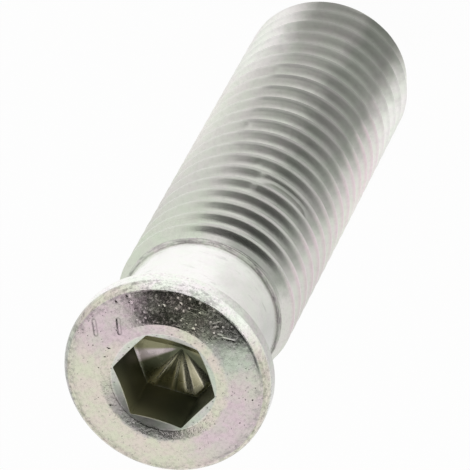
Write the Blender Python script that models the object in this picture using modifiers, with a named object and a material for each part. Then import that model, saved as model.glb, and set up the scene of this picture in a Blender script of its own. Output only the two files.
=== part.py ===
# Anchor screw of plated steel, in one piece: a low round head with a hexagon socket, a plain neck
# and a coarse right-hand thread with a chamfered tip. It stands on its tip: the origin is the middle
# of the flat tip end, and +Z runs up the axis to the head.

import math

import bmesh
import bpy

mm = 0.001

# Lengths along the axis
overallLength = 48.0 * mm
threadLength = 37.9 * mm
headHeight = 2.45 * mm

# Head
headDiameter = 14.0 * mm
faceRingDiameter = 8.6 * mm
faceSlope = math.radians(11.0)
rimRadius = 0.5 * mm
headUnderEdge = 0.2 * mm

# Neck
neckDiameter = 10.6 * mm
neckSpigot = 1.5 * mm
spigotInset = 1.0 * mm
footSink = 0.01 * mm

# Fillet at the neck's upper end and cone at its foot, as shares of its length
seatFilletShare = 0.066
footConeShare = 0.02

# Thread, right-hand: the flat crest and root and the depth give the flanks
majorDiameter = 12.0 * mm
minorDiameter = 10.7 * mm
threadPitch = 1.75 * mm
crestWidth = 0.25 * mm
rootWidth = 0.55 * mm
crestHeightAtX = 0.52 * mm
shoulderChamfer = 0.45 * mm
collarDiameter = 11.0 * mm
collarHeight = 0.2 * mm
tipFaceDiameter = 9.2 * mm
tipChamferLength = 2.0 * mm

# Hexagon socket, flats square to X, with a floor that falls to the middle as a shallow cone
socketAcrossFlats = 6.12 * mm
socketDepth = 4.5 * mm
socketMouthDiameter = 7.24 * mm
socketMouthSlope = math.radians(35.0)
floorConeDiameter = 5.9 * mm
floorConeAngle = math.radians(161.0)

# Finish
platingColour = (0.74, 0.74, 0.68, 1.0)
platingRoughness = 0.28

# Facets
sharpAngle = math.radians(20.0)
headSteps = 64
threadSteps = 40
floorSteps = 24
arcSteps = 4

# How far cutters and the thread's stock run past what they cut
overrun = 1.0 * mm
mergeDistance = 0.002 * mm

headTop = overallLength
seatHeight = overallLength - headHeight
shoulderHeight = threadLength


def clearScene():
    for obj in list(bpy.data.objects):
        bpy.data.objects.remove(obj)


def newCollection(name, hidden=False):
    collection = bpy.data.collections.new(name)
    bpy.context.scene.collection.children.link(collection)
    collection.hide_render = hidden
    return collection


def platedSteel():
    material = bpy.data.materials.new("zincPlatedSteel")
    material.use_nodes = True
    shader = material.node_tree.nodes["Principled BSDF"]
    shader.inputs["Base Color"].default_value = platingColour
    shader.inputs["Metallic"].default_value = 1.0
    shader.inputs["Roughness"].default_value = platingRoughness
    return material


def makeCutter(obj):
    obj.hide_render = True
    obj.display_type = "WIRE"


def moveTo(obj, collection):
    for owner in list(obj.users_collection):
        owner.objects.unlink(obj)
    collection.objects.link(obj)


def arcPoints(centre, radius, startDegrees, endDegrees, steps=arcSteps):
    """Points of an arc in the profile plane, both ends included."""
    angles = [
        math.radians(startDegrees + (endDegrees - startDegrees) * i / steps)
        for i in range(steps + 1)
    ]
    return [(centre[0] + radius * math.cos(a), centre[1] + radius * math.sin(a)) for a in angles]


def profileObject(name, points, collection):
    """An open chain of edges in the XZ plane, from (radius, height) points listed top to bottom."""
    mesh = bpy.data.meshes.new(name)
    edges = [(i, i + 1) for i in range(len(points) - 1)]
    mesh.from_pydata([(radius, 0.0, height) for radius, height in points], edges, [])
    obj = bpy.data.objects.new(name, mesh)
    collection.objects.link(obj)
    return obj


def turn(obj, steps, pitch=0.0, turns=1):
    """Revolves the profile about Z. A pitch makes it climb as a right-hand helix."""
    screw = obj.modifiers.new("turn", "SCREW")
    screw.axis = "Z"
    screw.angle = math.tau
    screw.screw_offset = pitch
    screw.iterations = turns
    screw.steps = steps
    screw.render_steps = steps
    screw.use_merge_vertices = True
    screw.merge_threshold = mergeDistance
    screw.use_smooth_shade = True


def combine(obj, other, operation):
    boolean = obj.modifiers.new(f"{operation.lower()} {other.name}", "BOOLEAN")
    boolean.operation = operation
    boolean.object = other
    boolean.solver = "EXACT"


def headOutline():
    """Head and neck from the axis at the top down to a spigot that sinks into the threaded shank."""
    headRadius = headDiameter / 2
    ringRadius = faceRingDiameter / 2
    neckRadius = neckDiameter / 2
    # The sloping face runs into the rim's arc where both have the same direction.
    arcCentreRadius = headRadius - rimRadius
    slopeEndRadius = arcCentreRadius + rimRadius * math.sin(faceSlope)
    slopeEndHeight = headTop - (slopeEndRadius - ringRadius) * math.tan(faceSlope)
    arcCentreHeight = slopeEndHeight - rimRadius * math.cos(faceSlope)
    rim = arcPoints(
        (arcCentreRadius, arcCentreHeight), rimRadius, 90.0 - math.degrees(faceSlope), 0.0
    )
    neckLength = seatHeight - shoulderHeight
    seatFillet = neckLength * seatFilletShare
    fillet = arcPoints((neckRadius + seatFillet, seatHeight - seatFillet), seatFillet, 90.0, 180.0)
    # The foot's cone sinks a little into the shoulder, so that the two surfaces cross cleanly.
    footCone = neckLength * footConeShare
    spigotRadius = neckRadius - spigotInset
    return [
        (0.0, headTop),
        (ringRadius, headTop),
        *rim,
        (headRadius, seatHeight + headUnderEdge),
        (headRadius - headUnderEdge, seatHeight),
        *fillet,
        (neckRadius, shoulderHeight + footCone),
        (neckRadius + footCone + footSink, shoulderHeight - footSink),
        (spigotRadius, shoulderHeight - collarHeight),
        (spigotRadius, shoulderHeight - neckSpigot),
        (0.0, shoulderHeight - neckSpigot),
    ]


def threadStock(collection):
    """A bar of plain thread, longer than the shank at both ends and closed there by cones of faces."""
    majorRadius = majorDiameter / 2
    minorRadius = minorDiameter / 2
    flankHeight = (threadPitch - crestWidth - rootWidth) / 2
    turnsBelow = math.ceil(overrun / threadPitch) + 1
    turns = turnsBelow + math.ceil((threadLength + overrun) / threadPitch) + 1
    crest = crestHeightAtX - turnsBelow * threadPitch
    top = crest + crestWidth / 2 + flankHeight
    onePitch = [
        (minorRadius, top),
        (majorRadius, top - flankHeight),
        (majorRadius, top - flankHeight - crestWidth),
        (minorRadius, top - 2 * flankHeight - crestWidth),
        (minorRadius, top - threadPitch),
    ]
    helix = profileObject("helix", onePitch, collection)
    turn(helix, threadSteps, threadPitch, turns)
    bpy.context.view_layer.update()
    graph = bpy.context.evaluated_depsgraph_get()
    mesh = bpy.data.meshes.new_from_object(helix.evaluated_get(graph))
    bpy.data.objects.remove(helix)

    shape = bmesh.new()
    shape.from_mesh(mesh)
    # Each turn's lower edge lies on the upper edge of the turn below.
    bmesh.ops.remove_doubles(shape, verts=shape.verts, dist=mergeDistance)
    closeHelixEnds(shape)
    bmesh.ops.recalc_face_normals(shape, faces=shape.faces)
    shape.to_mesh(mesh)
    shape.free()
    mesh.shade_smooth()
    mesh.set_sharp_from_angle(angle=sharpAngle)

    stock = bpy.data.objects.new("threadStock", mesh)
    collection.objects.link(stock)
    return stock


def closeHelixEnds(shape):
    """Joins each open end of the helix to a point on the axis at the middle of that end."""
    middle = sum(vert.co.z for vert in shape.verts) / len(shape.verts)
    openEdges = [edge for edge in shape.edges if edge.is_boundary]
    for isTop in (False, True):
        rim = [edge for edge in openEdges if (edge.verts[0].co.z > middle) == isTop]
        heights = [vert.co.z for edge in rim for vert in edge.verts]
        hub = shape.verts.new((0.0, 0.0, (min(heights) + max(heights)) / 2))
        for edge in rim:
            shape.faces.new((edge.verts[0], edge.verts[1], hub))


def runOutCollar(collection):
    """A thin disc that the first groove runs out into, so that the shoulder is a full ring."""
    bottom = shoulderHeight - collarHeight
    top = shoulderHeight + overrun / 2
    bpy.ops.mesh.primitive_cylinder_add(
        vertices=headSteps,
        radius=collarDiameter / 2,
        depth=top - bottom,
        location=(0.0, 0.0, (top + bottom) / 2),
    )
    collar = bpy.context.object
    collar.name = "runOutCollar"
    moveTo(collar, collection)
    return collar


def shankEnvelope(collection):
    """What is left of the thread: a flat shoulder under the neck and a chamfered tip."""
    majorRadius = majorDiameter / 2
    tipRadius = tipFaceDiameter / 2
    outside = majorRadius + overrun
    chamferRise = tipChamferLength / (majorRadius - tipRadius)
    outline = [
        (0.0, shoulderHeight),
        (majorRadius - shoulderChamfer, shoulderHeight),
        (outside, shoulderHeight - overrun - shoulderChamfer),
        (outside, (outside - tipRadius) * chamferRise),
        (tipRadius, 0.0),
        (0.0, 0.0),
    ]
    envelope = profileObject("shankEnvelope", outline, collection)
    turn(envelope, threadSteps)
    return envelope


def socketCutters(collection):
    """The hexagon, the shallow cone of its floor, and the mouth's chamfer."""
    mouthTop = headTop + overrun
    hexagonDepth = socketDepth + overrun
    bpy.ops.mesh.primitive_cylinder_add(
        vertices=6,
        radius=socketAcrossFlats / math.sqrt(3.0),
        depth=hexagonDepth,
        location=(0.0, 0.0, mouthTop - hexagonDepth / 2),
    )
    hexagon = bpy.context.object
    hexagon.name = "socketHexagon"
    moveTo(hexagon, collection)

    floorRadius = floorConeDiameter / 2
    wallEnd = headTop - socketDepth
    floorOutline = [
        (0.0, mouthTop),
        (floorRadius, mouthTop),
        (floorRadius, wallEnd),
        (0.0, wallEnd - floorRadius / math.tan(floorConeAngle / 2)),
    ]
    floorCone = profileObject("socketFloor", floorOutline, collection)
    turn(floorCone, floorSteps)

    mouthRadius = socketMouthDiameter / 2
    mouthRise = math.tan(socketMouthSlope)
    mouthOutline = [
        (0.0, mouthTop),
        (mouthRadius + overrun / mouthRise, mouthTop),
        (0.0, headTop - mouthRadius * mouthRise),
    ]
    mouth = profileObject("socketMouth", mouthOutline, collection)
    turn(mouth, headSteps)
    return [hexagon, floorCone, mouth]


def build():
    clearScene()
    parts = newCollection("Anchor screw")
    cutters = newCollection("Anchor screw cutters", hidden=True)

    screw = profileObject("anchor_screw", headOutline(), parts)
    turn(screw, headSteps)
    screw.data.materials.append(platedSteel())

    shank = threadStock(cutters)
    collar = runOutCollar(cutters)
    envelope = shankEnvelope(cutters)
    combine(shank, collar, "UNION")
    combine(shank, envelope, "INTERSECT")
    combine(screw, shank, "UNION")
    sockets = socketCutters(cutters)
    for cutter in sockets:
        combine(screw, cutter, "DIFFERENCE")

    for cutter in [shank, collar, envelope, *sockets]:
        makeCutter(cutter)


build()
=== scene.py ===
import math

import bmesh
import bpy
import numpy as np
from mathutils import Matrix, Vector


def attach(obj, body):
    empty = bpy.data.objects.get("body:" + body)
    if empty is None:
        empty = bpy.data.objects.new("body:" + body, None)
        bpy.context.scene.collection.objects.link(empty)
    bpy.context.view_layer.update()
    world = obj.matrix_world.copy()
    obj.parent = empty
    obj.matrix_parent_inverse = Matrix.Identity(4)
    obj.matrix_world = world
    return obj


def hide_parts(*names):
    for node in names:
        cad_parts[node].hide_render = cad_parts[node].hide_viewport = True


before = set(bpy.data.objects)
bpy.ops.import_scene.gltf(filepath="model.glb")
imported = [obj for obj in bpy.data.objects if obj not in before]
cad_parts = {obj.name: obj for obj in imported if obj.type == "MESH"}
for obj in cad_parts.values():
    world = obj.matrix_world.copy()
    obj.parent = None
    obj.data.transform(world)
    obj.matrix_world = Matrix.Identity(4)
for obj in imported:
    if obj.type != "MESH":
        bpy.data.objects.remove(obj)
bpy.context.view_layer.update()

mm = 0.001
mergeDistance = 0.0002 * mm
sharpAngle = 35.0  # in degrees; edges that bend more than this look sharp

# Azimuth in degrees of the side that the photo shows. Azimuths below count from it, positive to the
# left in the picture.
front = -134.235


# Turns rows of points into a closed skin. The array holds rows from one end of the skin to the other,
# each row a loop of points; the first and last rows are one point each. Rows of a helix aren't joined
# around, because each ends where the next turn's starts. Doubles are merged, so a row that is pressed
# flat against its neighbour vanishes, and the normals are turned outwards. Each entry of values becomes
# an attribute of the points.
def skinFromRows(name, rows, around=True, values=None):
    rowCount, columnCount = rows.shape[:2]
    ids = np.arange(rowCount * columnCount).reshape(rowCount, columnCount)
    if around:
        nextIds = np.roll(ids, -1, axis=1)
        corners = [ids[:-1], nextIds[:-1], nextIds[1:], ids[1:]]
    else:
        corners = [ids[:-1, :-1], ids[:-1, 1:], ids[1:, 1:], ids[1:, :-1]]
    quads = np.stack(corners, axis=-1).reshape(-1, 4)
    mesh = bpy.data.meshes.new(name)
    mesh.from_pydata(rows.reshape(-1, 3).tolist(), [], quads.tolist())
    for key, column in (values or {}).items():
        layer = mesh.attributes.new(key, "FLOAT", "POINT")
        layer.data.foreach_set("value", np.ascontiguousarray(column, dtype=np.float32).ravel())

    shape = bmesh.new()
    shape.from_mesh(mesh)
    bmesh.ops.remove_doubles(shape, verts=shape.verts, dist=mergeDistance)
    bmesh.ops.recalc_face_normals(shape, faces=shape.faces)
    shape.to_mesh(mesh)
    openEdges = sum(1 for edge in shape.edges if not edge.is_manifold)
    shape.free()
    mesh.shade_smooth()
    mesh.set_sharp_from_angle(angle=math.radians(sharpAngle))
    piece = bpy.data.objects.new(name, mesh)
    bpy.context.scene.collection.objects.link(piece)
    print(f"{name}: {len(mesh.polygons)} faces, {openEdges} open edges")
    return piece


# Points of an arc in the profile plane, from one angle to another in degrees, both ends included: the
# centre plus the radius times the cosine and the sine.
def arc(centreRadius, centreHeight, radius, start, end, steps):
    angles = np.radians(np.linspace(start, end, steps + 1))
    out = centreRadius + radius * np.cos(angles)
    up = centreHeight + radius * np.sin(angles)
    return np.stack([out, up], axis=-1)


# A straight run of points between two (radius, height) points, without the last one: the start times 1
# less the share, plus the end times the share.
def run(start, end, steps):
    share = np.arange(steps)[:, None] / steps
    return np.array(start) * (1 - share) + np.array(end) * share


# 0 below one value, 1 above the other, with the smooth cubic 3x^2 - 2x^3 between them.
def smoothStep(value, low, high):
    x = np.clip((value - low) / (high - low), 0.0, 1.0)
    return x * x * (3 - 2 * x)


# Smaller of two lengths with a rounded corner where they cross: half their sum, less the root of a
# quarter of their squared difference plus the rounding's square.
def softMinimum(first, second, rounding):
    return (first + second) / 2 - np.sqrt((first - second) ** 2 / 4 + rounding**2)


# How far an angle in radians is past an azimuth counted from the front, in degrees from -180 to 180.
def azimuthFrom(angle, centre):
    return (np.degrees(angle) - front - centre + 180.0) % 360.0 - 180.0


# Threaded shank, lengths in millimetres and angles in degrees
thread = {
    "majorRadius": 6.0,
    "pitch": 1.75,
    "crestWidth": 0.25,
    "cornerRounding": (0.02, 0.10),  # at the head's end and at the tip
    "flankAngle": 30.0,
    "flankDepth": 0.46,  # straight part of the flank, before the rounded root
    "crestHeightAtX": 0.40,
    "length": 37.88,  # just under the shoulder that covers its end
    "shoulderRadius": 5.5,
    "tipFaceRadius": 4.6,
    "tipChamferLength": 2.0,
    "columns": 200,
    # Rows of half a pitch, by their distance from the crest's middle
    "rows": [0.0, 0.075, 0.115, 0.14, 0.18, 0.25, 0.33, 0.42, 0.51, 0.61, 0.74],
    "endRows": [0.0, 0.35, 0.7],  # rows of the flat ends, as shares of their radius
    "nicks": [(35.0, 21.2), (14.0, 26.5), (8.0, 27.9), (10.0, 29.7), (36.0, 12.4)],  # azimuth, height
    "nickDepth": 0.09,
    "nickSize": 0.17,
    "nickReach": 0.4,  # how far below the crest's top a nick still cuts
    "filledGroove": {
        "azimuth": -15.0,
        "halfWidth": 28.0,  # angles to each side where the filling ends, and where it is full
        "fullWidth": 12.6,
        "height": 28.55,
        "depth": 0.40,
        "edge": (0.45, 0.80),  # distances from the groove's middle where it is full, and where it ends
    },
    "filmDepth": 0.74,  # depth at which the film is wholly that of the groove
}


# Radius of the thread at a distance s along the axis from the middle of the nearest crest: flat crest,
# a rounded corner, a straight flank, then an arc that touches both flanks of the groove. The arc's radius
# is half the groove's width there over the cosine of the flank's angle.
def threadRadius(s, rounding):
    s = np.abs(s)
    slope = math.tan(math.radians(thread["flankAngle"]))
    halfCrest = thread["crestWidth"] / 2
    flankRun = thread["flankDepth"] * slope
    halfGroove = thread["pitch"] / 2 - halfCrest - flankRun
    rootRadius = halfGroove / math.cos(math.radians(thread["flankAngle"]))
    flank = thread["majorRadius"] - (s - halfCrest) / slope
    fromRoot = np.clip(thread["pitch"] / 2 - s, 0.0, halfGroove)
    rise = rootRadius * (1 - math.sin(math.radians(thread["flankAngle"])))
    bottom = thread["majorRadius"] - thread["flankDepth"] - rise
    groove = bottom + rootRadius - np.sqrt(rootRadius**2 - fromRoot**2)
    side = np.where(s <= halfCrest + flankRun, flank, groove)
    return softMinimum(thread["majorRadius"], side, rounding)


# The shank's wear: nicks in the crests, each a dip by the exponential of minus the squared distance, and
# one groove that dirt fills to a shallow depth for part of a turn.
def wearThread(radius, angle, height):
    for azimuth, nickHeight in thread["nicks"]:
        aside = np.radians(azimuthFrom(angle, azimuth)) * thread["majorRadius"]
        distance = (aside**2 + (height - nickHeight) ** 2) / thread["nickSize"] ** 2
        onCrest = radius > thread["majorRadius"] - thread["nickReach"]
        radius = radius - thread["nickDepth"] * np.exp(-distance) * onCrest
    filled = thread["filledGroove"]
    aside = azimuthFrom(angle, filled["azimuth"])
    climb = thread["pitch"] * aside / 360.0
    inGroove = 1 - smoothStep(np.abs(height - filled["height"] - climb), *filled["edge"])
    inTurn = 1 - smoothStep(np.abs(aside), filled["fullWidth"], filled["halfWidth"])
    floor = thread["majorRadius"] - filled["depth"]
    return radius + inGroove * inTurn * np.maximum(floor - radius, 0.0)


# Every row climbs by one pitch in a turn, so the rows follow the crests. A point outside the shank's
# ends is pressed onto the end plane, with the radius that the thread has there.
def makeThreadedShank():
    halfPitch = thread["pitch"] / 2
    halfSteps = np.array(thread["rows"])
    steps = np.concatenate([[-halfPitch], -halfSteps[:0:-1], halfSteps])
    turns = np.arange(-2, math.ceil(thread["length"] / thread["pitch"]) + 2)
    along = (turns[:, None] * thread["pitch"] + steps[None, :]).ravel()
    angle = np.linspace(0.0, math.tau, thread["columns"] + 1)
    climb = thread["crestHeightAtX"] + thread["pitch"] * angle / math.tau
    free = along[:, None] + climb[None, :]
    height = np.clip(free, 0.0, thread["length"])
    fromCrest = (height - climb[None, :] + halfPitch) % thread["pitch"] - halfPitch
    nearRounding, tipRounding = thread["cornerRounding"]
    rounding = nearRounding + (tipRounding - nearRounding) * (1 - height / thread["length"]) ** 2
    radius = wearThread(threadRadius(fromCrest, rounding), angle[None, :] + 0 * height, height)
    tipRise = (thread["majorRadius"] - thread["tipFaceRadius"]) / thread["tipChamferLength"]
    radius = np.minimum(radius, thread["tipFaceRadius"] + height * tipRise)
    radius = np.minimum(radius, thread["shoulderRadius"] + thread["length"] - height)

    # Flat ends: the end loops drawn in to the axis in a few steps
    drawIn = np.array(thread["endRows"])[:, None]
    radius = np.concatenate([radius[:1] * drawIn, radius, radius[-1:] * drawIn[::-1]])
    height = np.concatenate([height[:1] + 0 * drawIn, height, height[-1:] + 0 * drawIn])
    points = np.stack([radius * np.cos(angle), radius * np.sin(angle), height], axis=-1) * mm
    depth = np.clip((thread["majorRadius"] - radius) / thread["filmDepth"], 0.0, 1.0)
    return skinFromRows("threadedShank", points, around=False, values={"grooveDepth": depth})


# Head and neck, lengths in millimetres and angles in degrees
head = {
    "top": 48.0,
    "radius": 7.0,
    "height": 2.45,
    "mouthRadius": 3.62,
    "mouthSlope": 27.0,
    "ringRadius": 4.3,
    "innerDish": 12.0,  # lean of the ring around the socket, at its inner and outer edge
    "outerDish": 7.0,
    "innerSlope": 9.0,  # the face is a little domed, so its slope grows towards the rim
    "outerSlope": 13.5,
    "creaseRadius": 6.62,
    "rimRadius": 0.85,
    "underEdge": 0.2,
    "seatFillet": 0.5,
    "neckRadius": 5.3,
    "footCone": 0.16,
    "shoulderHeight": 37.9,
    # The collar and the end inside the shank: radius, and height from the shoulder
    "collar": [(5.49, -0.02), (5.5, -0.05), (5.5, -0.14), (5.2, -0.5), (4.3, -0.5), (0.0, -0.5)],
    "columns": 640,
    "ringRows": 10,
    "ringEdge": 0.03,  # a narrow row on both sides of the ring's outer edge
    "faceRows": 46,
    "faceStart": 0.08,
    "rimRows": 14,
    "sideRows": 6,
    "underEdgeRows": 3,
    "seatRows": 4,
    "filletRows": 6,
    "neckRows": 12,
    "footRows": 3,
}

socket = {
    "apothem": 3.06,
    "cornerRadius": 3.50,  # corners are cut back a little from the sharp 3.53
    "depth": 4.5,
    "floorDrop": 0.5,
    "floorFillet": 0.04,
    "filletStart": 0.92,  # share of the way to the wall where the fillet starts
    "foldEnd": 0.9,  # and where the folds start to fade
    "floorRows": 18,
    "filletRows": [0.94, 0.96, 0.98],
    "wallRows": 10,
    "mouthRows": [0.15, 0.35, 0.55, 0.75],
    # Folds of the forged floor: azimuths of one foot, of the crest's start and end, and of the other
    # foot, and height
    "folds": [
        (160.0, 168.5, 169.5, 177.0, 0.23),
        (188.0, 194.0, 195.0, 200.0, 0.13),
        (197.0, 216.0, 239.0, 255.0, 0.30),
    ],
}

# Dents of the face: ticks and scratches from one point to another, and round pits, in millimetres
dents = {
    "ticks": [((1.48, -5.01), (1.65, -4.15)), ((3.23, -5.19), (3.36, -4.29))],
    "tickHalfWidth": 0.17,
    "tickFloor": 0.085,  # half the width of the flat bottom
    "tickDepth": 0.014,
    # The ticks' dark edges are painted shade.
    "tickEdge": 0.1275,  # distance of the dark edge from the middle line, and how far it fades
    "tickEdgeFade": 0.08,
    "scratches": [
        ((-4.68, -3.31), (-5.21, -3.36)),
        ((-4.72, -3.08), (-4.95, -3.05)),
        ((-4.96, -2.29), (-5.68, -1.86)),
        ((-4.80, -2.55), (-5.05, -2.38)),
    ],
    "scratchHalfWidth": 0.06,
    "scratchDepth": 0.012,
    "pits": [
        (2.71, -3.29, 0.19), (4.08, -3.64, 0.10), (3.76, -3.60, 0.10), (1.19, -6.23, 0.12),
        (0.31, -6.43, 0.13), (0.29, -6.01, 0.09), (3.89, -2.02, 0.11), (3.23, -2.72, 0.13),
        (4.52, -4.70, 0.13), (4.68, 0.10, 0.15), (-4.03, 3.91, 0.17), (-5.43, 2.49, 0.14),
        (6.45, -0.64, 0.12), (4.05, 0.76, 0.16), (-1.89, -5.34, 0.09), (-3.03, -5.19, 0.10),
        (-2.63, -4.93, 0.08), (-4.06, -4.25, 0.09), (-3.34, -3.35, 0.10),
    ],
    "pitFloor": 0.2,  # share of a pit's radius that is flat
    "pitDepth": 0.035,
}

# Parts of the head's skin that have a film colour of their own
zones = ["floor", "wall", "mouth", "ring", "face", "rim", "neck", "foot"]


# Distance from the axis to the hexagon at each angle: apothem over the cosine of the angle from the
# nearest flat. Flats are square to X, so corners are on Y.
def hexagonRadius(angle):
    fromFlat = (angle + math.pi / 6) % (math.pi / 3) - math.pi / 6
    return np.minimum(socket["apothem"] / np.cos(fromFlat), socket["cornerRadius"])


# Fall of a surface whose slope grows evenly over a width: the first slope times x plus half the growth
# times x squared.
def curvedFall(x, width, first, last):
    start, end = math.tan(math.radians(first)), math.tan(math.radians(last))
    return start * x + (end - start) * x**2 / (2 * width)


# Height of the mouth's edge: the ring leans down to it.
def mouthTop():
    width = head["ringRadius"] - head["mouthRadius"]
    return head["top"] - curvedFall(width, width, head["outerDish"], head["innerDish"])


# Height of the mouth's chamfer at a distance from the axis: the edge's height, less the distance inwards
# times the slope's tangent.
def mouthHeight(radius):
    return mouthTop() - (head["mouthRadius"] - radius) * math.tan(math.radians(head["mouthSlope"]))


# The outline from the socket's mouth outwards and down, each stretch with the zone that it belongs to:
# a ring that leans inwards, the domed face, the rim's arc, the side and seat, the neck and its foot. The
# rim's arc starts where its width equals the distance from the crease to the side.
def headOutline():
    top = head["top"]
    ringRadius = head["ringRadius"]
    width = ringRadius - head["mouthRadius"]
    x = np.linspace(width, head["ringEdge"], head["ringRows"])
    fall = curvedFall(x, width, head["outerDish"], head["innerDish"])
    ring = np.stack([ringRadius - x, top - fall], axis=-1)
    faceWidth = head["creaseRadius"] - ringRadius
    spread = np.linspace(head["faceStart"], faceWidth, head["faceRows"])
    x = np.concatenate([[head["ringEdge"]], spread])
    fall = curvedFall(x, faceWidth, head["innerSlope"], head["outerSlope"])
    face = np.stack([ringRadius + x, top - fall], axis=-1)

    rimRadius = head["rimRadius"]
    rimStart = math.asin(1 - (head["radius"] - head["creaseRadius"]) / rimRadius)
    rimHeight = face[-1, 1] - rimRadius * math.cos(rimStart)
    firstAngle = 90.0 - math.degrees(rimStart)
    rim = arc(head["radius"] - rimRadius, rimHeight, rimRadius, firstAngle, 0.0, head["rimRows"])[1:]

    seat = top - head["height"]
    sideEnd = (head["radius"], seat + head["underEdge"])
    underEnd = (head["radius"] - head["underEdge"], seat)
    seatEnd = (head["neckRadius"] + head["seatFillet"], seat)
    side = np.concatenate(
        [
            run(rim[-1], sideEnd, head["sideRows"])[1:],
            run(sideEnd, underEnd, head["underEdgeRows"]),
            run(underEnd, seatEnd, head["seatRows"]),
        ]
    )

    seatFillet = head["seatFillet"]
    fillet = arc(seatEnd[0], seat - seatFillet, seatFillet, 90.0, 180.0, head["filletRows"])
    shoulder = head["shoulderHeight"]
    neckEnd = (head["neckRadius"], shoulder + head["footCone"])
    neck = np.concatenate([fillet, run(fillet[-1], neckEnd, head["neckRows"])[1:]])
    coneEnd = (head["neckRadius"] + head["footCone"], shoulder)
    collar = np.array(head["collar"]) + (0.0, shoulder)
    foot = np.concatenate([run(neckEnd, coneEnd, head["footRows"]), [coneEnd], collar])
    return [("ring", ring), ("face", face), ("rim", rim), ("side", side), ("neck", neck), ("foot", foot)]


# Each fold's height, and its shape by angle: 0 at both feet, 1 along the crest, smooth between.
def foldShapes(angle):
    shapes = []
    for first, crestStart, crestEnd, last, rise in socket["folds"]:
        up = azimuthFrom(angle, first) / (crestStart - first)
        down = -azimuthFrom(angle, last) / (last - crestEnd)
        shapes.append((rise, smoothStep(np.minimum(up, down), 0.0, 1.0)))
    return shapes


# Floor of the socket at a share of the way to the wall: a shallow cone with a few radial folds, which
# rise and fall smoothly with the angle, grow with the square of the share and fade out at the wall, and
# a small fillet that rises with the square of the distance from its start.
def socketFloor(share, wall, angle):
    height = head["top"] - socket["depth"] - socket["floorDrop"] * (1 - share)
    nearWall = max(0.0, (share - socket["filletStart"]) / (1 - socket["filletStart"]))
    height = height + socket["floorFillet"] * nearWall**2
    fade = share**2 * (1 - smoothStep(share, socket["foldEnd"], 1.0))
    for rise, shape in foldShapes(angle):
        height = height + rise * fade * shape
    return wall * share, height


# Distance of each point from the straight line between two points, by the nearest point of the line:
# its share of the way is the product of both directions over the line's squared length, from 0 to 1.
def lineDistance(x, y, start, end):
    alongX, alongY = end[0] - start[0], end[1] - start[1]
    share = ((x - start[0]) * alongX + (y - start[1]) * alongY) / (alongX**2 + alongY**2)
    share = np.clip(share, 0.0, 1.0)
    return np.hypot(x - start[0] - share * alongX, y - start[1] - share * alongY)


# Depth of the dents in the head: the deepest of all ticks, scratches and pits at each point. Each is
# flat inside and has smoothly sloping walls.
def dentDepth(x, y):
    depth = np.zeros_like(x)
    for start, end in dents["ticks"]:
        distance = lineDistance(x, y, start, end)
        inside = 1 - smoothStep(distance, dents["tickFloor"], dents["tickHalfWidth"])
        depth = np.maximum(depth, dents["tickDepth"] * inside)
    for start, end in dents["scratches"]:
        inside = 1 - smoothStep(lineDistance(x, y, start, end), 0.0, dents["scratchHalfWidth"])
        depth = np.maximum(depth, dents["scratchDepth"] * inside)
    for pitX, pitY, size in dents["pits"]:
        inside = 1 - smoothStep(np.hypot(x - pitX, y - pitY), size * dents["pitFloor"], size)
        depth = np.maximum(depth, dents["pitDepth"] * inside)
    return depth


# How near a point is to the edge of a tick: 1 on the edge, 0 a little off it. The colour is darkened there
# as painted shade.
def tickEdge(x, y):
    nearest = np.min([lineDistance(x, y, start, end) for start, end in dents["ticks"]], axis=0)
    return 1 - smoothStep(np.abs(nearest - dents["tickEdge"]), 0.0, dents["tickEdgeFade"])


# The head's skin: rows of the socket's floor, its walls and its mouth follow the hexagon, and the rows of
# the outline are circles, lowered by the dents.
def makeHead():
    angle = np.arange(head["columns"]) / head["columns"] * math.tau
    one = np.ones_like(angle)
    wall = hexagonRadius(angle)
    wallEnd = head["top"] - socket["depth"] + socket["floorFillet"]

    cone = np.linspace(0.0, socket["filletStart"], socket["floorRows"])
    rows = [("floor", *socketFloor(share, wall, angle)) for share in [*cone, *socket["filletRows"]]]
    for share in np.linspace(0.0, 1.0, socket["wallRows"]):
        rows.append(("wall", wall, wallEnd * (1 - share) + mouthHeight(wall) * share))
    for share in socket["mouthRows"]:
        edge = wall * (1 - share) + head["mouthRadius"] * share
        rows.append(("mouth", edge, mouthHeight(edge)))
    for zone, points in headOutline():
        rows += [(zone, radius * one, height * one) for radius, height in points]
    zone = np.array([row[0] for row in rows])
    radius = np.array([row[1] for row in rows])
    height = np.array([row[2] for row in rows])
    onTop = np.isin(zone, ["ring", "face", "rim"])[:, None]
    x = radius * np.cos(angle)
    y = radius * np.sin(angle)
    height = height - onTop * dentDepth(x, y)
    points = np.stack([x, y, height], axis=-1) * mm
    values = {name: (zone == name)[:, None] + 0 * radius for name in zones}
    values["edge"] = onTop * tickEdge(x, y)
    values["fold"] = values["floor"] * sum(shape for _, shape in foldShapes(angle))
    return skinFromRows("headAndNeck", points, values=values)


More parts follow.
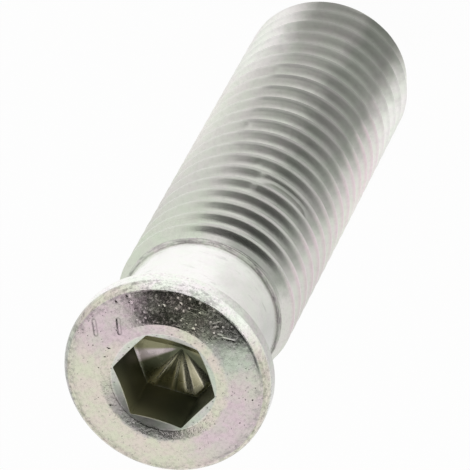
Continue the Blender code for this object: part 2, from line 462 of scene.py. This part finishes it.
# A wire is the output socket of a node. Sums written with wires add Math nodes to the same tree, and
# node() adds any other kind: its type, its settings, then the values or wires of its sockets. A wire
# without a socket starts a tree.
class Wire:
    def __init__(self, tree, socket=None):
        self.tree = tree
        self.socket = socket

    def node(self, kind, settings=None, sockets=None, output=0):
        made = self.tree.nodes.new(kind)
        for key, value in (settings or {}).items():
            setattr(made, key, value)
        for key, value in (sockets or {}).items():
            if isinstance(value, Wire):
                self.tree.links.new(value.socket, made.inputs[key])
            else:
                made.inputs[key].default_value = value
        return Wire(self.tree, made.outputs[output] if len(made.outputs) else None)

    def maths(self, operation, first, second=0.0):
        return self.node("ShaderNodeMath", {"operation": operation}, {0: first, 1: second})

    def absolute(self):
        return self.maths("ABSOLUTE", self)

    def parts(self):
        split = self.node("ShaderNodeSeparateXYZ", None, {0: self}).socket.node
        return [Wire(self.tree, output) for output in split.outputs]

    def __add__(self, other):
        return self.maths("ADD", self, other)

    def __sub__(self, other):
        return self.maths("SUBTRACT", self, other)

    def __rsub__(self, other):
        return self.maths("SUBTRACT", other, self)

    def __mul__(self, other):
        return self.maths("MULTIPLY", self, other)


# 0 below one value, 1 above the other, smooth between them; it falls instead where the first value is
# the larger
def ease(value, low, high):
    return value.node(
        "ShaderNodeMapRange",
        {"interpolation_type": "SMOOTHSTEP", "clamp": True},
        {"Value": value, "From Min": low, "From Max": high, "To Min": 0.0, "To Max": 1.0},
    )


# 1 within one distance of a value, 0 beyond the other, smooth between them
def near(value, centre, inner, outer):
    return 1 - ease((value - centre).absolute(), inner, outer)


# 1 between two values, with a smooth rise before it and a smooth fall after it
def between(value, rise, fall):
    return ease(value, *rise) * (1 - ease(value, *fall))


# First colour times 1 less the factor, plus the second colour times the factor
def blendColour(factor, first, second):
    wire = next(value for value in (factor, first, second) if isinstance(value, Wire))
    return wire.node("ShaderNodeMix", {"data_type": "RGBA"}, {0: factor, 6: first, 7: second}, 2)


# Colour times a number
def shade(colour, amount):
    return colour.node("ShaderNodeVectorMath", {"operation": "SCALE"}, {0: colour, "Scale": amount})


# Colour times another colour, channel by channel
def tinge(colour, other):
    return colour.node("ShaderNodeVectorMath", {"operation": "MULTIPLY"}, {0: colour, 1: other})


# Fractal noise about 0.5
def noise(place, scale, detail=2.0, roughness=0.5):
    sockets = {"Vector": place, "Scale": scale, "Detail": detail, "Roughness": roughness}
    return place.node("ShaderNodeTexNoise", None, sockets)


# Place times a factor along each axis, then turned
def stretch(place, factors, turn=(0.0, 0.0, 0.0)):
    return place.node("ShaderNodeMapping", None, {"Vector": place, "Scale": factors, "Rotation": turn})


# Place on the piece in millimetres, its share of a turn about the axis (0.5 at the front, more to the
# left, from the arc tangent of y and x), and the same place unrolled: along the circumference, out from
# the axis (the root of x squared plus y squared), and up.
def places(start):
    inMetres = start.node("ShaderNodeTexCoord", output=3)
    place = inMetres.node("ShaderNodeVectorMath", {"operation": "SCALE"}, {0: inMetres, "Scale": 1 / mm})
    x, y, z = stretch(place, (1.0, 1.0, 1.0), (0.0, 0.0, -math.radians(front))).parts()
    share = x.maths("ARCTAN2", y, x) * (1 / math.tau) + 0.5
    out = x.maths("SQRT", x * x + y * y)
    unrolled = x.node("ShaderNodeCombineXYZ", None, {0: share * (math.tau * head["radius"]), 1: out, 2: z})
    return place, share, unrolled


# Clear zinc plating: a few plain film colours, with a faint green and pink tint. White, silver, grey, slate
# and olive also serve as painted light and shade, the very dark colour is painted shade in the socket, and
# the pale gold one is a painted highlight on the folds of the socket's floor.
palette = {
    "silver": (0.70, 0.70, 0.66, 1.0),
    "cream": (0.74, 0.71, 0.61, 1.0),
    "pink": (0.70, 0.61, 0.63, 1.0),
    "green": (0.60, 0.63, 0.57, 1.0),
    "white": (1.0, 1.0, 0.97, 1.0),
    "grey": (0.52, 0.52, 0.49, 1.0),
    "slate": (0.38, 0.39, 0.36, 1.0),
    "socketShade": (0.13, 0.14, 0.09, 1.0),
    "olive": (0.30, 0.29, 0.18, 1.0),
    "paintedLight": (0.90, 0.85, 0.66, 1.0),
}

# Film of each zone: its plain colour, then one to three broad fields of another colour. A field is its
# middle's azimuth, half its width in degrees, and its colour. Besides the plating's tint, the fields and
# plain colours carry painted light and shade, as the note above each zone says.
filmsAndPaintedLight = {
    "face": ("cream", [(60.0, 55.0, "pink"), (-95.0, 55.0, "pink"), (-35.0, 35.0, "green")]),
    # Ring: the grey on the far side is painted shade; the pink is the plating's tint.
    "ring": ("cream", [(180.0, 70.0, "grey"), (50.0, 50.0, "pink")]),
    # Mouth: the slate on the far side is painted shade, and the silver on the left is painted light.
    "mouth": ("green", [(180.0, 60.0, "slate"), (60.0, 60.0, "silver")]),
    # Neck: painted light, grey on the right and at the back, silver at the front and white on the left.
    "neck": ("grey", [(-10.0, 50.0, "silver"), (45.0, 75.0, "white")]),
    # Rim: the white at the front is a painted highlight; at the back on the left it is greyer.
    "rim": ("cream", [(5.0, 60.0, "white"), (115.0, 45.0, "grey")]),
    # Side: painted light, white, and grey on the right.
    "side": ("white", [(-50.0, 65.0, "grey")]),
    # Foot: painted light, grey, and silver on the left.
    "foot": ("grey", [(45.0, 70.0, "silver")]),
    # Socket's walls: painted shade, very dark, and olive on the far side.
    "wall": ("socketShade", [(160.0, 60.0, "olive")]),
    # Socket's floor: painted shade, olive, with fields of painted reflection that are very dark and pink.
    "floor": ("olive", [(148.0, 20.0, "socketShade"), (128.0, 12.0, "pink"), (-100.0, 25.0, "socketShade")]),
    # Crests: the grey in the middle of the front is painted shade; the pink on the right is the plating's
    # tint.
    "crest": ("silver", [(-20.0, 70.0, "grey"), (-60.0, 30.0, "pink")]),
    # Groove: the slate in the middle of the front is painted shade.
    "groove": ("silver", [(-22.0, 38.0, "slate")]),
    # Tip: painted light, grey, white at both sides, and slate in the middle of the front as painted shade.
    "tip": ("grey", [(80.0, 55.0, "white"), (-80.0, 45.0, "white"), (-20.0, 25.0, "slate")]),
}

zinc = {
    "fieldMiddle": 0.3,  # share of a field's half width that is fully its colour
    "unevenness": 0.10,  # how far noise shifts the film colours, as a share of a turn
    "soot": (0.30, 0.30, 0.30, 1.0),  # colour of the grime in pits and specks
    "pink": (1.04, 0.97, 1.02),  # what the patches multiply the film by
    "green": (0.97, 1.03, 0.95),
    "patches": (0.8, 3.0, 0.65),  # noises: scale for each millimetre, detail and roughness
    "patchRange": (0.36, 0.64),
    "grain": (4.5, 3.0, 0.7),
    "grainRange": (0.42, 0.72),
    "lumpHeight": 0.006 * mm,
}


# Film by azimuth, with the painted light and shade of its fields: each field is blended over the plain
# colour, wholly in its middle and not at all at its edge. The distance from the middle is the shorter way
# round.
def filmAndPaintedLight(share, name):
    plain, fields = filmsAndPaintedLight[name]
    tint = palette[plain]
    for azimuth, halfWidth, colour in fields:
        aside = (share - (azimuth + 180.0) / 360.0).absolute()
        aside = aside.maths("MINIMUM", aside, 1 - aside)
        edge = halfWidth / 360.0
        tint = blendColour(1 - ease(aside, edge * zinc["fieldMiddle"], edge), tint, palette[colour])
    return tint


# Ends a material: metal of one colour, roughness and relief in metres
def finishMaterial(start, tint, roughness, relief):
    bump = relief.node("ShaderNodeBump", None, {"Strength": 1.0, "Distance": 1.0, "Height": relief})
    shader = start.node(
        "ShaderNodeBsdfPrincipled",
        None,
        {"Base Color": tint, "Metallic": 1.0, "Roughness": roughness, "Normal": bump},
    )
    start.node("ShaderNodeOutputMaterial", None, {"Surface": shader})


# A material without nodes, and the wire that starts its tree
def newTree(name):
    material = bpy.data.materials.new(name)
    material.use_nodes = True
    material.node_tree.nodes.clear()
    return material, Wire(material.node_tree)


# Mottling of a film: patches a little pinker or greener, and fine grain a little darker
def mottled(place, tint, hue, strength):
    patch = ease(noise(place, *zinc["patches"]), *zinc["patchRange"])
    patched = blendColour(patch, tinge(tint, zinc["green"]), tinge(tint, zinc["pink"]))
    grain = ease(noise(place, *zinc["grain"]), *zinc["grainRange"])
    return shade(blendColour(hue, tint, patched), 1 - grain * strength)


# Look of the head and neck. Noises give scale for each millimetre, detail and roughness. A pair gives
# where something starts and where it is full: in the noise, in millimetres, or as a share of a turn. A
# single number is a strength, unless its note says otherwise.
headLook = {
    "wander": (0.5, 3.0, 0.6),
    # The floor's dark middle is painted shade.
    "apexRange": (0.25, 1.0),  # distances from the axis at which the floor's dark middle ends
    "foldRange": (0.3, 2.0),
    "faceRange": (4.1, 4.5),  # where the ring's film gives way to that of the face
    "faceEdge": (1.4, 4.0, 0.7),
    "faceEdgeWidth": 1.1,
    # Painted light: how much brighter the socket's walls are near the mouth, and over which heights.
    "paintedWallLight": 0.7,
    "paintedWallLightRange": (45.8, 47.6),
    "streaks": (1.3, 4.0, 0.7),
    "streakStretch": (0.5, 3.4, 3.4),
    "streakRange": (0.44, 0.60),
    "knocks": (2.4, 3.0, 0.7),
    "knockRange": (0.46, 0.60),
    # Painted highlight: the rim stays bright at the front on the right, between these shares of a turn, with
    # most of its wear left out.
    "paintedRimHighlightStart": (0.36, 0.40),
    "paintedRimHighlightEnd": (0.47, 0.50),
    "paintedRimHighlight": 0.8,  # how much of the rim's wear is left out there
    "rimBattered": 0.18,
    "rimKnocks": 0.30,
    "footBattered": 0.30,
    "ringKnocks": 0.08,
    "mottle": (0.9, 0.16),  # hue and grain, here and on the neck
    "neckMottle": (0.3, 0.03),
    "farSideRange": (0.28, 0.38),  # turned away from the front
    "nearRimRange": (5.9, 6.6),
    "smudgeRange": (0.60, 0.68),
    "smudgeOnLeft": 0.5,
    "smudgeBattered": 0.14,
    "smudgeKnocks": 0.16,
    "tickEdge": 0.46,
    "cells": 3.2,  # pits for each millimetre
    "pitRange": (0.24, 0.10),
    "pitGroups": (1.6, 2.0),
    "pitGroupRange": (0.46, 0.56),
    "pitHeight": 0.024 * mm,
    "pitSoot": 0.30,
    "specks": (3.6, 3.0, 0.65),
    "speckLevel": 0.60,  # more of the noise is a speck where this is lower
    "speckNearRim": 0.11,
    "speckOnFarRing": 0.05,
    "speckFade": 0.10,
    "speckSoot": 0.30,
    "scratches": (1.5, 2.0, 0.5),
    "scratchStretch": (0.35, 5.0, 1.6),
    "scratchTurn": (0.0, 0.0, 0.25),
    "scratchRange": (0.62, 0.68),
    "scratchGroups": (0.6, 2.0),
    "scratchGroupRange": (0.42, 0.58),
    "scratchHeight": 0.002 * mm,
    "neckScratches": 0.12,
    "otherScratches": 0.05,
    # Dark thin lines of painted shade: middle, then the distances where they start to fade and end
    "footCornerShadeLine": (head["shoulderHeight"] + 0.10, 0.02, 0.10),
    "footCornerShadeBattered": 0.22,
    "footCornerShade": 0.15,
    "footCornerShadeLeftRange": (0.56, 0.66),
    "footCornerShadeLeft": 0.55,
    "lipLine": (head["mouthRadius"] + 0.03, 0.0, 0.05),
    "lip": 0.40,
    "creaseLine": (head["creaseRadius"] - 0.08, 0.03, 0.10),
    "creaseStart": (0.33, 0.37),
    "creaseEnd": (0.44, 0.48),
    "crease": 0.6,
    "lumps": (2.2, 2.0, 0.5),
    "rimStreakHeight": 0.04 * mm,
    "ringKnockHeight": 0.006 * mm,
    "polish": 0.12,  # roughness where the plating is brightest, and what others add to it
    "dull": 0.08,
    "dullness": (0.7, 3.0, 0.6),
    "dullRange": (0.40, 0.60),
    "speckRoughness": 0.1,
    "grit": (5.0, 3.0, 0.7),
    "gritRange": (0.48, 0.68),
    "gritRoughness": 0.14,
    "zoneRoughness": {"neck": 0.06, "wall": 0.42, "floor": 0.12},
    "farRoughness": {"ring": 0.08, "mouth": 0.26},
}


# Film of the head and neck: each zone's own, with its painted light and shade, with fold crests painted
# bright as highlights and a middle painted dark as shade on the socket's floor, and walls painted brighter
# near the mouth.
def headFilm(zone, place, share, out, height):
    inside = zone["floor"] + zone["wall"]
    wander = noise(place, *headLook["wander"]) - 0.5
    uneven = share + wander * zinc["unevenness"] * (1 - inside)
    tint = filmAndPaintedLight(uneven, "side")
    for name in ("neck", "foot", "rim", "mouth", "wall"):
        tint = blendColour(zone[name], tint, filmAndPaintedLight(uneven, name))

    # The folds' crests are painted bright as a highlight, more so away from the middle.
    paintedLight = zone["fold"] * ease(out, *headLook["foldRange"])
    floor = blendColour(paintedLight, filmAndPaintedLight(share, "floor"), palette["paintedLight"])
    # Painted shade: the middle of the socket's floor is very dark, fading out from the axis.
    floor = blendColour(ease(out, *headLook["apexRange"]), palette["socketShade"], floor)
    tint = blendColour(zone["floor"], tint, floor)

    edge = (noise(place, *headLook["faceEdge"]) - 0.5) * headLook["faceEdgeWidth"]
    outside = ease(out + edge, *headLook["faceRange"])
    face = blendColour(outside, filmAndPaintedLight(uneven, "ring"), filmAndPaintedLight(uneven, "face"))
    tint = blendColour(zone["face"] + zone["ring"], tint, face)
    # Painted light: the walls are brighter near the mouth.
    paintedBrightening = ease(height, *headLook["paintedWallLightRange"]) * zone["wall"]
    return shade(tint, paintedBrightening * headLook["paintedWallLight"] + 1)


# Head and neck: the film with the painted light and shade of its fields, less light where the metal is
# battered, knocked, pitted, specked or scratched, though less on the rim's painted highlight, painted shade
# along the ticks' edges, and dark thin lines of painted shade in three corners. What is struck also gets
# relief and roughness.
def headZinc():
    look = headLook
    material, start = newTree("zincOnHead")
    names = [*zones, "edge", "fold"]
    zone = {name: start.node("ShaderNodeAttribute", {"attribute_name": name}, output=2) for name in names}
    place, share, unrolled = places(start)
    out, height = unrolled.parts()[1:]
    struck = 1 - (zone["floor"] + zone["wall"] + zone["neck"])
    farSide = ease((share - 0.5).absolute(), *look["farSideRange"])
    nearRim = ease(out, *look["nearRimRange"]) * zone["face"]

    streak = noise(stretch(unrolled, look["streakStretch"]), *look["streaks"])
    battered = ease(streak, *look["streakRange"])
    knocks = ease(noise(place, *look["knocks"]), *look["knockRange"])
    # Painted highlight: the rim's wear is mostly left out at the front on the right.
    paintedRimHighlight = between(share, look["paintedRimHighlightStart"], look["paintedRimHighlightEnd"])
    rimWear = zone["rim"] * (battered * look["rimBattered"] + knocks * look["rimKnocks"])
    darkening = rimWear * (1 - paintedRimHighlight * look["paintedRimHighlight"])
    darkening = darkening + battered * zone["foot"] * look["footBattered"] + knocks * zone["ring"] * look["ringKnocks"]
    tint = shade(headFilm(zone, place, share, out, height), 1 - darkening)
    hue, grain = (
        struck * onStruck + zone["neck"] * onNeck
        for onStruck, onNeck in zip(look["mottle"], look["neckMottle"])
    )
    tint = mottled(place, tint, hue, grain)

    spots = {"Vector": place, "Scale": look["cells"]}
    cells = place.node("ShaderNodeTexVoronoi", {"feature": "F1"}, spots)
    pitGroups = ease(noise(place, *look["pitGroups"]), *look["pitGroupRange"])
    pit = ease(cells, *look["pitRange"]) * pitGroups * struck
    level = look["speckLevel"] - nearRim * look["speckNearRim"]
    level = level - zone["ring"] * farSide * look["speckOnFarRing"]
    speck = ease(noise(place, *look["specks"]) - level, 0.0, look["speckFade"]) * struck
    tint = blendColour(pit * look["pitSoot"] + speck * look["speckSoot"], tint, zinc["soot"])
    smudged = ease(share, *look["smudgeRange"]) * look["smudgeOnLeft"] + 1
    smudge = nearRim * smudged * (battered * look["smudgeBattered"] + knocks * look["smudgeKnocks"])
    # Painted shade along the ticks' edges, and the smudges near the rim.
    tint = shade(tint, 1 - (zone["edge"] * look["tickEdge"] + smudge))

    fine = noise(stretch(unrolled, look["scratchStretch"], look["scratchTurn"]), *look["scratches"])
    scratchGroups = ease(noise(place, *look["scratchGroups"]), *look["scratchGroupRange"])
    scratches = ease(fine, *look["scratchRange"]) * scratchGroups
    strength = zone["neck"] * look["neckScratches"] + struck * look["otherScratches"]
    tint = shade(tint, 1 - scratches * strength)

    # Dark thin lines of painted shade: the corner at the neck's foot, fainter on the left, the mouth's edge
    # on the far side, and the crease on the right
    footCornerShade = near(height, *look["footCornerShadeLine"]) * (zone["foot"] + zone["neck"])
    footCornerShade = footCornerShade * (battered * look["footCornerShadeBattered"] + look["footCornerShade"])
    footCornerShade = footCornerShade * (1 - ease(share, *look["footCornerShadeLeftRange"]) * look["footCornerShadeLeft"])
    lip = near(out, *look["lipLine"]) * zone["ring"] * farSide * look["lip"]
    onRight = between(share, look["creaseStart"], look["creaseEnd"])
    crease = near(out, *look["creaseLine"]) * zone["face"] * onRight * look["crease"]
    tint = shade(tint, 1 - (footCornerShade + lip + crease))

    relief = noise(place, *look["lumps"]) * (struck * zinc["lumpHeight"]) - pit * look["pitHeight"]
    relief = relief - scratches * look["scratchHeight"] + streak * (zone["rim"] * look["rimStreakHeight"])
    relief = relief - knocks * zone["ring"] * look["ringKnockHeight"]
    dull = ease(noise(place, *look["dullness"]), *look["dullRange"])
    grit = ease(noise(place, *look["grit"]), *look["gritRange"])
    roughness = dull * look["dull"] + look["polish"] + speck * look["speckRoughness"]
    roughness = roughness + grit * zone["face"] * look["gritRoughness"]
    for name, amount in look["zoneRoughness"].items():
        roughness = roughness + zone[name] * amount
    for name, amount in look["farRoughness"].items():
        roughness = roughness + zone[name] * farSide * amount
    finishMaterial(start, tint, roughness, relief)
    return material


# Look of the thread, in the same terms as that of the head; heights are from the tip.
threadLook = {
    "wander": (0.4, 3.0, 0.6),
    "grooveRange": (0.05, 0.35),  # share of the film's depth
    "middleRange": (0.115, 0.085),  # shares of a turn from the front
    "sideRange": (0.10, 0.22),
    # Painted shade: crests that face the front are darker in the middle of the shank, over these heights, by
    # this much.
    "paintedCrestShadeRange": (34.0, 14.0),
    "darkening": 0.42,  # darkening of the crests in the middle of the shank
    # Painted light: the shank's sides are brighter towards the tip, over these heights.
    "paintedSideLightRange": (32.0, 16.0),
    "paintedSideLight": 0.25,
    "tipRange": (15.0, 7.0),
    # Painted light and shade near the tip: the crests' light, how much lighter the grooves are, and how much
    # the front is darkened towards the end.
    "tipCrest": 0.88,  # light of the crests near the tip, and what the groove has more
    "tipGroove": 0.12,
    "tipEndRange": (8.5, 4.5),
    "tipEnd": 0.17,
    "mottleStretch": (0.7, 0.7, 0.3),
    "mottle": (0.4, 0.07),  # hue and grain
    "greenHeights": (29.0, 36.0),
    "greenSide": (0.54, 0.60),
    "lumps": (2.0, 2.0, 0.5),
    "streaks": (1.5, 3.0, 0.6),
    "streakStretch": (0.4, 2.0, 2.6),
    "roughness": 0.25,
    "tipRoughness": 0.34,  # added at the tip, fading out towards the head
}


# Thread: one film on the crests and one in the groove, both of which give way to the tip's film; the films
# carry painted light and shade, the crests that face the front are painted darker in the middle of the
# shank, the sides painted brighter, and near the tip the grooves painted lighter and the front darker
# towards the end; the roughness grows evenly from the head to the tip.
def threadZinc():
    look = threadLook
    material, start = newTree("zincOnThread")
    depth = start.node("ShaderNodeAttribute", {"attribute_name": "grooveDepth"}, output=2)
    place, share, unrolled = places(start)
    height = unrolled.parts()[2]
    uneven = share + (noise(place, *look["wander"]) - 0.5) * zinc["unevenness"]
    deep = ease(depth, *look["grooveRange"])
    aside = (share - 0.5).absolute()
    middle = ease(aside, *look["middleRange"])

    # Painted shade on the crests that face the front, in the middle of the shank.
    paintedLight = ease(height, *look["paintedCrestShadeRange"]) * middle
    crest = shade(filmAndPaintedLight(uneven, "crest"), 1 - paintedLight * look["darkening"])
    tint = blendColour(deep, crest, filmAndPaintedLight(uneven, "groove"))
    # Painted light on the shank's sides.
    paintedBrightening = ease(height, *look["paintedSideLightRange"]) * ease(aside, *look["sideRange"])
    tint = shade(tint, paintedBrightening * look["paintedSideLight"] + 1)
    # Painted light and shade at the tip: lighter grooves, and a darker front near the end.
    tipEnd = ease(height, *look["tipEndRange"]) * middle
    tipShade = deep * look["tipGroove"] + look["tipCrest"] - tipEnd * look["tipEnd"]
    tip = shade(filmAndPaintedLight(uneven, "tip"), tipShade)
    tint = blendColour(ease(height, *look["tipRange"]), tint, tip)
    tint = mottled(stretch(place, look["mottleStretch"]), tint, *look["mottle"])
    greener = ease(height, *look["greenHeights"]) * ease(share, *look["greenSide"])
    tint = blendColour(greener, tint, tinge(tint, zinc["green"]))

    streak = noise(stretch(unrolled, look["streakStretch"]), *look["streaks"])
    relief = (noise(place, *look["lumps"]) * 0.5 + streak) * zinc["lumpHeight"]
    towardTip = 1 - height * (1 / thread["length"])
    roughness = towardTip * look["tipRoughness"] + look["roughness"]
    finishMaterial(start, tint, roughness, relief)
    return material


for piece, material in ((makeThreadedShank(), threadZinc()), (makeHead(), headZinc())):
    piece.data.materials.append(material)
    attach(piece, "root")
    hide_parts("anchor_screw")
print("pieces made")


# Floor, card and tent, lengths in metres
studio = {
    "floorRadius": 2.0,
    "floorCorners": 96,
    "floorColour": (0.86, 0.86, 0.85, 1.0),
    "floorGlow": 0.96,  # share of plain white that the camera and the metal see
    "cardHeight": 0.80,
    # Corners of the card for a height of 1: toward the front, and to its left
    "cardOutline": [
        (-0.42, 0.15),
        (-0.245, -0.05),
        (-0.185, -0.235),
        (0.25, -0.69),
        (0.55, -0.74),
        (0.82, -0.45),
        (0.90, 0.0),
        (0.82, 0.40),
        (0.45, 0.54),
        (-0.22, 0.365),
    ],
    "cardColour": (0.04, 0.042, 0.038, 1.0),
    "tentColour": (0.93, 0.93, 0.92, 1.0),
}

# Camera: aim and distance in millimetres, angles in degrees
view = {
    "aim": (0.346, -0.337, 27.087),
    "elevation": 58.917,
    "distance": 503.418,
    "roll": -151.572,  # the photo's camera is turned about its own axis
    "lens": 567.0,
    "sensorWidth": 36.0,
    "nearest": 0.01,  # in metres
    "farthest": 20.0,
}


# A flat piece of the studio, as one face with these corners
def stageSheet(name, points, material):
    mesh = bpy.data.meshes.new(name)
    mesh.from_pydata(points.tolist(), [], [list(range(len(points)))])
    mesh.materials.append(material)
    sheet = bpy.data.objects.new(name, mesh)
    bpy.context.scene.collection.objects.link(sheet)
    return sheet


# A round pale floor: matt where light falls on it, and almost plain white where the camera, the metal or
# glass sees it.
def makeFloor():
    material, start = newTree("paleFloor")
    diffuse = start.node("ShaderNodeBsdfDiffuse", None, {"Color": studio["floorColour"]})
    white = start.node("ShaderNodeEmission", None, {"Color": (1.0, 1.0, 1.0, 1.0), "Strength": 1.0})
    camera = start.node("ShaderNodeLightPath", output="Is Camera Ray")
    glossy = start.node("ShaderNodeLightPath", output="Is Glossy Ray")
    through = start.node("ShaderNodeLightPath", output="Is Transmission Ray")
    seen = start.maths("MINIMUM", camera + glossy + through, 1.0) * studio["floorGlow"]
    mixed = start.node("ShaderNodeMixShader", None, {0: seen, 1: diffuse, 2: white})
    start.node("ShaderNodeOutputMaterial", None, {"Surface": mixed})
    angle = np.arange(studio["floorCorners"]) / studio["floorCorners"] * math.tau
    points = np.stack([np.cos(angle), np.sin(angle), 0 * angle], axis=-1)
    stageSheet("floor", points * studio["floorRadius"], material)


# A dark card over the screw, as the open top of a light tent: the bright metal shows it as the dark
# area on the head and in the thread's flanks.
def makeCard():
    azimuth = math.radians(front)
    toward = np.array([math.cos(azimuth), math.sin(azimuth), 0.0])
    left = np.array([-math.sin(azimuth), math.cos(azimuth), 0.0])
    corners = np.array(studio["cardOutline"])
    points = corners[:, :1] * toward + corners[:, 1:] * left + np.array([0.0, 0.0, 1.0])
    material, start = newTree("darkCard")
    shader = start.node("ShaderNodeBsdfDiffuse", None, {"Color": studio["cardColour"]})
    start.node("ShaderNodeOutputMaterial", None, {"Surface": shader})
    card = stageSheet("card", points * studio["cardHeight"], material)
    card.visible_camera = False


# The tent: even soft white light from all round
def makeTent():
    world = bpy.data.worlds.new("tent")
    bpy.context.scene.world = world
    world.use_nodes = True
    world.node_tree.nodes.clear()
    start = Wire(world.node_tree)
    lit = start.node("ShaderNodeBackground", None, {"Color": studio["tentColour"], "Strength": 1.0})
    plain = start.node("ShaderNodeBackground", None, {"Color": (1.0, 1.0, 1.0, 1.0), "Strength": 1.0})
    camera = start.node("ShaderNodeLightPath", output="Is Camera Ray")
    mixed = start.node("ShaderNodeMixShader", None, {0: camera, 1: lit, 2: plain})
    start.node("ShaderNodeOutputWorld", None, {"Surface": mixed})


# The camera looks at its aim from the front, at an elevation and a distance, and is rolled about its
# own axis: right and up are the level and upright directions turned by the roll.
def makeCamera():
    azimuth = math.radians(front)
    elevation = math.radians(view["elevation"])
    roll = math.radians(view["roll"])
    level = math.cos(elevation)
    back = Vector((level * math.cos(azimuth), level * math.sin(azimuth), math.sin(elevation)))
    aside = Vector((-math.sin(azimuth), math.cos(azimuth), 0.0))
    upright = back.cross(aside)
    right = aside * math.cos(roll) + upright * math.sin(roll)
    up = back.cross(right)
    place = Vector(view["aim"]) * mm + back * view["distance"] * mm
    data = bpy.data.cameras.new("camera")
    data.lens = view["lens"]
    data.sensor_width = view["sensorWidth"]
    data.clip_start = view["nearest"]
    data.clip_end = view["farthest"]
    camera = bpy.data.objects.new("camera", data)
    turned = Matrix((right, up, back)).transposed().to_4x4()
    camera.matrix_world = Matrix.Translation(place) @ turned
    bpy.context.scene.collection.objects.link(camera)
    bpy.context.scene.camera = camera


makeFloor()
makeCard()
makeTent()
makeCamera()
bpy.context.scene.view_settings.view_transform = "Standard"
print("floor, card, tent and camera made")
